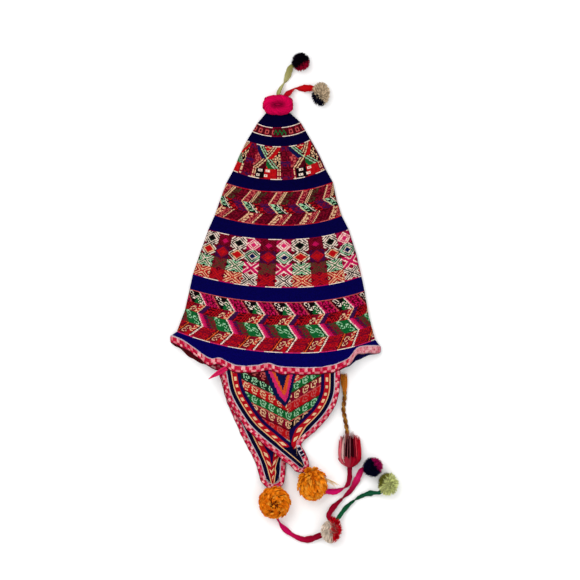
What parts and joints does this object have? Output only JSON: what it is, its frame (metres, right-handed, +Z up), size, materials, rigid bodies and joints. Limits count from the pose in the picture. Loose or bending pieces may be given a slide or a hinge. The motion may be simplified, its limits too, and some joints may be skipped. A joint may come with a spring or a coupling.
{
  "type": "knitted chullo hat with ear flaps and pompom cords",
  "caption": "Soft conical knitted hat with patterned bands, an open mouth, pointed ear flaps, pompoms and free cords, lying flat.",
  "frame": {"origin": "on the surface that the hat lies on, under the middle of the hat seen from above, without its free cords", "axes": "+X to the hat's right as it is seen from above with the apex up, +Y from the mouth to the apex, +Z up from the surface"},
  "size_m": [0.2955, 0.6343, 0.0393],
  "materials": {
    "crown_knit": "tight patterned knit in navy, crimson, green and white wool, matt",
    "rim_edging_weave": "puffy pink and white checked woven edging, matt",
    "near_flap_knit": "patterned knit with striped borders, matt",
    "near_flap_edging_weave": "pink and white checked woven edging, matt",
    "far_flap_knit": "patterned knit with striped borders, matt",
    "far_flap_edging_weave": "pink and white checked woven edging, matt",
    "near_flap_pompom_yarn": "cut orange wool yarn, fluffy",
    "far_flap_pompom_yarn": "cut orange wool yarn, fluffy",
    "top_pompom_yarn": "looped deep pink yarn, fluffy",
    "yarn_end_yarn": "flat magenta yarn, matt",
    "olive_tie_yarn": "flat olive wool band, matt",
    "black_pompom_yarn": "cut black and crimson yarn, fluffy",
    "red_tie_yarn": "flat red wool band, matt",
    "beige_pompom_yarn": "cut beige and navy yarn, fluffy",
    "magenta_cord_yarn": "wrapped magenta wool cord, matt",
    "white_red_pompom_yarn": "off-white and red yarn, fluffy",
    "crimson_cord_yarn": "wrapped crimson wool cord, matt",
    "navy_pompom_yarn": "cut navy and pink yarn, fluffy",
    "green_cord_yarn": "wrapped green wool cord, matt",
    "lime_pompom_yarn": "cut pale green yarn, fluffy",
    "tassel_cord_yarn": "wrapped magenta and crimson wool cord, matt",
    "maroon_tassel_yarn": "maroon, pink and red yarn strands, matt",
    "brown_cord_yarn": "two-ply twisted brown and gold yarn, matt",
    "gold_tuft_yarn": "gold yarn strands, matt"
  },
  "bodies": {
    "root": {"crown": "crown_knit", "rim_edging": "rim_edging_weave", "near_flap": "near_flap_knit", "near_flap_edging": "near_flap_edging_weave", "far_flap": "far_flap_knit", "far_flap_edging": "far_flap_edging_weave", "near_flap_pompom": "near_flap_pompom_yarn", "far_flap_pompom": "far_flap_pompom_yarn", "top_pompom": "top_pompom_yarn", "yarn_end": "yarn_end_yarn", "olive_tie": "olive_tie_yarn", "black_pompom": "black_pompom_yarn", "red_tie": "red_tie_yarn", "beige_pompom": "beige_pompom_yarn", "magenta_cord": "magenta_cord_yarn", "white_red_pompom": "white_red_pompom_yarn", "crimson_cord": "crimson_cord_yarn", "navy_pompom": "navy_pompom_yarn", "green_cord": "green_cord_yarn", "lime_pompom": "lime_pompom_yarn", "tassel_cord": "tassel_cord_yarn", "maroon_tassel": "maroon_tassel_yarn", "brown_cord": "brown_cord_yarn", "gold_tuft": "gold_tuft_yarn"}
  },
  "joints": []
}
